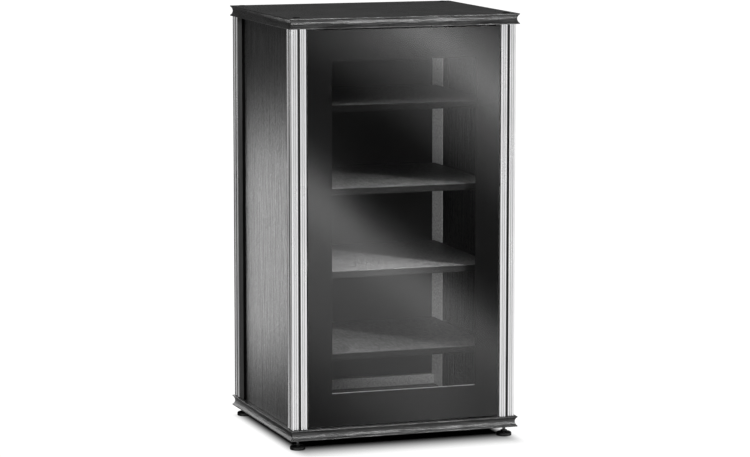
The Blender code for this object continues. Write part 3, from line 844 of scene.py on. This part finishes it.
def pad_profile(node):
    """A dished pad with a rounded shoulder, and a boss with the socket that the stem turns in."""
    radius = radius_of(node)
    boss_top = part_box(node)[1].z
    points = [(radius * 0.80, 0.0008), (radius * 0.84, 0), (radius - PAD_ROUND, 0)]
    for sine, cosine in quarter_turn(6, 1):
        points.append((radius - PAD_ROUND * (1 - sine), PAD_ROUND * (1 - cosine)))
    points.append((radius, PAD_SIDE))
    inwards, upwards = PAD_SHOULDER
    for sine, cosine in quarter_turn(8, 1):
        points.append((radius - inwards * (1 - cosine), PAD_SIDE + upwards * sine))
    points += [(BOSS + 0.0030, 0.0106), (BOSS + 0.0010, PAD_TOP), (BOSS, PAD_TOP + 0.0008)]
    points += [(BOSS, boss_top - BOSS_ROUND), (BOSS - BOSS_ROUND, boss_top)]
    points += [(SOCKET + SOCKET_ROUND, boss_top), (SOCKET, boss_top - SOCKET_ROUND), (SOCKET, SOCKET_FLOOR)]
    return points


for corner in CORNERS:
    for node in (f"tie_rod_{corner}", f"coupling_nut_{corner}"):
        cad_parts[node].data.materials.clear()
        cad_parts[node].data.materials.append(rod_steel)

    node = f"bolt_cap_{corner}"
    x, y = middle_of(node).xy
    place = (x, y, 0)
    profile = cap_profile(node)
    turned_piece(f"{node}_turned", profile, place, "Z", cap_plastic, "cabinet", [node])
    threaded(f"foot_stem_{corner}", x, y, rod_steel, f"stem_{corner}")
    node = f"foot_pad_{corner}"
    body = f"foot_{corner}"
    profile = pad_profile(node)
    turned_piece(f"{node}_turned", profile, place, "Z", foot_paint, body, [node], PAD_STEPS)

# ------------------------------------------------------------------ studio: room and reflectors
# The backdrop is plain white. What the cabinet mirrors is a white floor in front, a dim room
# elsewhere, and two long soft reflectors that hang aslant before the door. A ray is known by
# the point of the door that mirrors it to the camera.

CAMERA_PLACE = (-2.551, -7.496, 1.598)
ROOM_DARK = 0.10
ROOM_WHITE = 0.95
DIFFUSE_LEVEL = 0.06  # how much the room lights dull faces
BACKDROP_LEVEL = 1.05
UPPER_FLARE = 0.012  # how much wider the upper reflector grows to the right
LOWER_DROP = 0.026  # how far the lower one bends down towards the middle
MIDDLE_FADE = 0.10  # how much dimmer the lower one grows there
LOWER_FADE = 0.35  # how much dimmer the lower one grows to the right
MIRROR_WIDTH = (-0.34, 0.34)  # the part of the door's plane where the reflectors are seen
MIRROR_HEIGHT = (-0.10, 1.06)
MIRROR_SOFT = 0.5
UP_SLOPE = (0.6, 0.8)  # the way across the reflectors, along X and Z
BRIGHTEST = 3.0
ACROSS_FROM, ACROSS_TO = -0.10, 1.10
# How bright the reflectors are across their length: (metres up the slope, light).
BANDS = (
    (-0.10, 0.06),
    (0.00, 0.27),
    (0.10, 0.75),
    (0.20, 0.92),
    (0.28, 1.12),
    (0.34, 1.95),
    (0.385, 1.40),
    (0.425, 0.42),
    (0.475, 0.06),
    (0.60, 0.03),
    (0.66, 0.26),
    (0.73, 0.70),
    (0.79, 1.35),
    (0.84, 2.70),
    (0.89, 1.85),
    (0.97, 0.50),
    (1.10, 0.20),
)


def between(tree, value, low, high, soft):
    """1 between two bounds, and 0 beyond them, with soft ends."""
    rise = spread(tree, value, low - soft, low, 0, 1)
    fall = spread(tree, value, high, high + soft, 1, 0)
    return product(tree, rise, fall)


def without(tree, factor, share=1.0):
    """What a factor leaves over when it takes this share away."""
    return combined(tree, product(tree, factor, -share), 1.0)


def band_light(tree, across):
    """The reflectors' light at a distance up their slope."""
    span = tree.nodes.new("ShaderNodeMapRange")
    span.inputs["From Min"].default_value = ACROSS_FROM
    span.inputs["From Max"].default_value = ACROSS_TO
    tree.links.new(across, span.inputs["Value"])
    bands = tree.nodes.new("ShaderNodeValToRGB")
    ramp = bands.color_ramp
    ramp.interpolation = "B_SPLINE"
    while len(ramp.elements) < len(BANDS):
        ramp.elements.new(1.0)
    for element, (where, light) in zip(ramp.elements, BANDS):
        element.position = (where - ACROSS_FROM) / (ACROSS_TO - ACROSS_FROM)
        element.color = grey(light / BRIGHTEST)
    tree.links.new(span.outputs["Result"], bands.inputs[0])
    return product(tree, bands.outputs["Color"], BRIGHTEST)


world = bpy.data.worlds.new("white_studio")
bpy.context.scene.world = world
bpy.context.scene.view_settings.view_transform = "Standard"
world.use_nodes = True
tree = world.node_tree
backdrop = tree.nodes["Background"]
backdrop.inputs["Color"].default_value = grey(1)
way = tree.nodes.new("ShaderNodeTexCoord")
parts = tree.nodes.new("ShaderNodeSeparateXYZ")
tree.links.new(way.outputs["Generated"], parts.inputs[0])
away_x, away_y, away_z = parts.outputs
frontward = spread(tree, away_y, -0.55, 0.10, 1, 0)
downward = spread(tree, away_z, -0.02, 0.14, 1, 0)
room = combined(tree, product(tree, frontward, downward, ROOM_WHITE), ROOM_DARK)

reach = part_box("door_glass")[0].y - CAMERA_PLACE[1]
ahead = combined(tree, product(tree, away_y, -1.0), 0.05, "MAXIMUM")
sideways = combined(tree, away_x, ahead, "DIVIDE")
upwards = combined(tree, away_z, ahead, "DIVIDE")
on_door_x = combined(tree, product(tree, sideways, reach), CAMERA_PLACE[0])
on_door_z = combined(tree, product(tree, upwards, reach), CAMERA_PLACE[2])
rightward = spread(tree, on_door_x, 0.05, 0.22, 0, 1)
upward = spread(tree, on_door_z, 0.42, 0.56, 0, 1)
lower_right = product(tree, rightward, without(tree, upward))
upper_right = product(tree, rightward, upward)
across = combined(tree, product(tree, on_door_x, UP_SLOPE[0]), product(tree, on_door_z, UP_SLOPE[1]))
across = combined(tree, across, product(tree, upper_right, UPPER_FLARE))
lower_band = spread(tree, across, 0.46, 0.58, 1, 0)
inward = product(tree, spread(tree, on_door_x, -0.22, -0.06, 0, 1), lower_band)
across = combined(tree, across, product(tree, inward, LOWER_DROP))
faded = combined(tree, product(tree, inward, -MIDDLE_FADE), without(tree, lower_right, LOWER_FADE))
reflectors = product(tree, band_light(tree, across), faded)

in_front = combined(tree, away_y, -0.3, "LESS_THAN")
in_width = between(tree, on_door_x, *MIRROR_WIDTH, MIRROR_SOFT)
in_height = between(tree, on_door_z, *MIRROR_HEIGHT, MIRROR_SOFT)
patch = product(tree, in_width, in_height, in_front)
strength = combined(tree, product(tree, without(tree, patch), room), product(tree, patch, reflectors))
path = tree.nodes.new("ShaderNodeLightPath")
for kind, level in (("Is Diffuse Ray", DIFFUSE_LEVEL), ("Is Camera Ray", BACKDROP_LEVEL)):
    seen = tree.nodes.new("ShaderNodeMix")
    tree.links.new(path.outputs[kind], seen.inputs["Factor"])
    tree.links.new(strength, seen.inputs["A"])
    seen.inputs["B"].default_value = level
    strength = seen.outputs["Result"]
tree.links.new(strength, backdrop.inputs["Strength"])

# ------------------------------------------------------------------ studio: floor
# A flat sheet painted with the cabinet's own soft shadow. It is dark under the base slab and
# clears into the white backdrop a little way out from each of the slab's edges.

FLOOR = 2.4
SHADOW_UNDER = 0.020  # how pale the floor is in the shadow
SIDE_FADE = (-0.035, 0.012)  # out from the slab's edge, where the shadow fades into white
FRONT_FADE = (-0.060, 0.105)


def stage_sheet(name, width, height, place, turn, finish):
    """A flat rectangle, facing +Z until it is turned."""
    bm = bmesh.new()
    corners = ((-1, -1), (1, -1), (1, 1), (-1, 1))
    bm.faces.new([bm.verts.new((x * width / 2, y * height / 2, 0)) for x, y in corners])
    mesh = bpy.data.meshes.new(name)
    bm.to_mesh(mesh)
    bm.free()
    mesh.materials.append(finish)
    sheet = bpy.data.objects.new(name, mesh)
    bpy.context.scene.collection.objects.link(sheet)
    sheet.location = place
    sheet.rotation_euler = turn
    return sheet


floor_finish, tree, matt = new_finish("studio_floor", 0.9)
matt.inputs["Base Color"].default_value = grey(SHADOW_UNDER)
matt.inputs["Specular IOR Level"].default_value = 0.0
clear = tree.nodes.new("ShaderNodeBsdfTransparent")
place = tree.nodes.new("ShaderNodeTexCoord")
parts = tree.nodes.new("ShaderNodeSeparateXYZ")
tree.links.new(place.outputs["Object"], parts.inputs[0])
shadow = 1.0
for value, half, (starts, ends) in (
    (combined(tree, parts.outputs[0], 0.0, "ABSOLUTE"), base_high.x, SIDE_FADE),
    (parts.outputs[1], base_high.y, SIDE_FADE),
    (product(tree, parts.outputs[1], -1.0), base_high.y, FRONT_FADE),
):
    shadow = product(tree, spread(tree, value, half + starts, half + ends, 1, 0), shadow)
shader_between(tree, shadow, clear, matt)
stage_sheet("studio_floor", FLOOR, FLOOR, (0, 0, 0), (0, 0, 0), floor_finish)

# ------------------------------------------------------------------ studio: lamps and camera
# A large soft box above the front lights everything but the shelves, which have a narrow lamp
# of their own. Flagged fills reach the rear covers, the back and the mouldings, and a glowing
# card shines along the side panel. The camera stands far off with a long lens.

LENS = 152.95  # millimetres
SENSOR = 36
CAMERA_TILT = 82.12  # degrees up from straight down
CAMERA_TURN = -18.84


def soft_light(name, size, power, place, aim):
    lamp = bpy.data.lights.new(name, "AREA")
    lamp.shape = "RECTANGLE"
    lamp.size, lamp.size_y = size
    lamp.energy = power
    light = bpy.data.objects.new(name, lamp)
    bpy.context.scene.collection.objects.link(light)
    light.location = place
    light.rotation_euler = (Vector(aim) - Vector(place)).to_track_quat("-Z", "Y").to_euler()
    return light


def lights_only(light, *names, state="INCLUDE"):
    """Keeps a light on these pieces, or off them, as a flag or a grid does in the studio."""
    lit = bpy.data.collections.new(f"lit_by_{light.name}")
    for name in names:
        lit.objects.link(bpy.data.objects[name])
    light.light_linking.receiver_collection = lit
    for receiver in lit.collection_objects:
        receiver.light_linking.link_state = state


def reflector(name, size, place, turn, light, soft):
    """A glowing card that only glossy surfaces mirror, fading out over the last part of each side."""
    card = bpy.data.materials.new(name)
    card.use_nodes = True
    tree = card.node_tree
    tree.nodes.remove(tree.nodes["Principled BSDF"])
    glow = tree.nodes.new("ShaderNodeEmission")
    clear = tree.nodes.new("ShaderNodeBsdfTransparent")
    spot = tree.nodes.new("ShaderNodeTexCoord")
    parts = tree.nodes.new("ShaderNodeSeparateXYZ")
    tree.links.new(spot.outputs["Object"], parts.inputs[0])
    shape = 1.0
    for value, length, edge in zip(parts.outputs, size, soft):
        off = combined(tree, value, 0.0, "ABSOLUTE")
        shape = product(tree, spread(tree, off, length / 2 - edge, length / 2, 1, 0), shape)
    tree.links.new(product(tree, shape, light), glow.inputs["Strength"])
    shader_between(tree, shape, clear, glow)
    sheet = stage_sheet(name, *size, place, turn, card)
    sheet.visible_camera = False
    sheet.visible_diffuse = False
    sheet.visible_transmission = False
    sheet.visible_shadow = False
    return sheet


slabs = ["base_slab", "top_slab"]
shelves = [f"laminate_shelf_{number}" for number in SHELVES]
covers = [f"rear_cover_{side}_finished" for side in SIDES]
screws = [f"back_screw_{level}_{side}_turned" for level in LEVELS for side in SIDES]
panels = [f"side_panel_{side}_finished" for side in SIDES]

overhead_softbox = soft_light("overhead_softbox", (3.2, 2.6), 260, (-0.4, -2.2, 3.4), (0, -0.1, 0.2))
overhead_softbox.visible_glossy = False
lights_only(overhead_softbox, *shelves, state="EXCLUDE")

shelf_light = soft_light("shelf_light", (0.3, 0.2), 11.2, (1.75, -2.9, 0.82), (-0.10, -0.10, 0.46))
shelf_light.data.spread = math.radians(10.5)
shelf_light.visible_glossy = False
lights_only(shelf_light, *shelves)

left_fill = soft_light("left_fill", (1.6, 0.9), 120, (-1.9, -3.4, 0.7), (0.1, 0, 0.5))
left_fill.visible_glossy = False
lights_only(left_fill, *covers, "rear_sill_finished")

back_fill = soft_light("back_fill", (2.0, 1.6), 150, (0.8, 3.6, 1.9), (0, 0, 0.5))
lights_only(back_fill, "back_panel_finished", *screws)

upright = (math.pi / 2, 0, 0)
side_reflector = reflector("side_reflector", (0.9, 1.16), (-0.52, 0.62, 0.37), upright, 2.2, (0.05, 0.42))
lights_only(side_reflector, *panels, *slabs)

moulding_strip = soft_light("moulding_strip", (1.6, 0.16), 30, (0.35, -1.45, 0.50), (0, -0.25, 0.52))
lights_only(moulding_strip, *slabs)

camera_data = bpy.data.cameras.new("camera")
camera_data.sensor_width = SENSOR
camera_data.lens = LENS
camera = bpy.data.objects.new("camera", camera_data)
camera.location = CAMERA_PLACE
camera.rotation_euler = (math.radians(CAMERA_TILT), 0, math.radians(CAMERA_TURN))
bpy.context.scene.collection.objects.link(camera)
bpy.context.scene.camera = camera
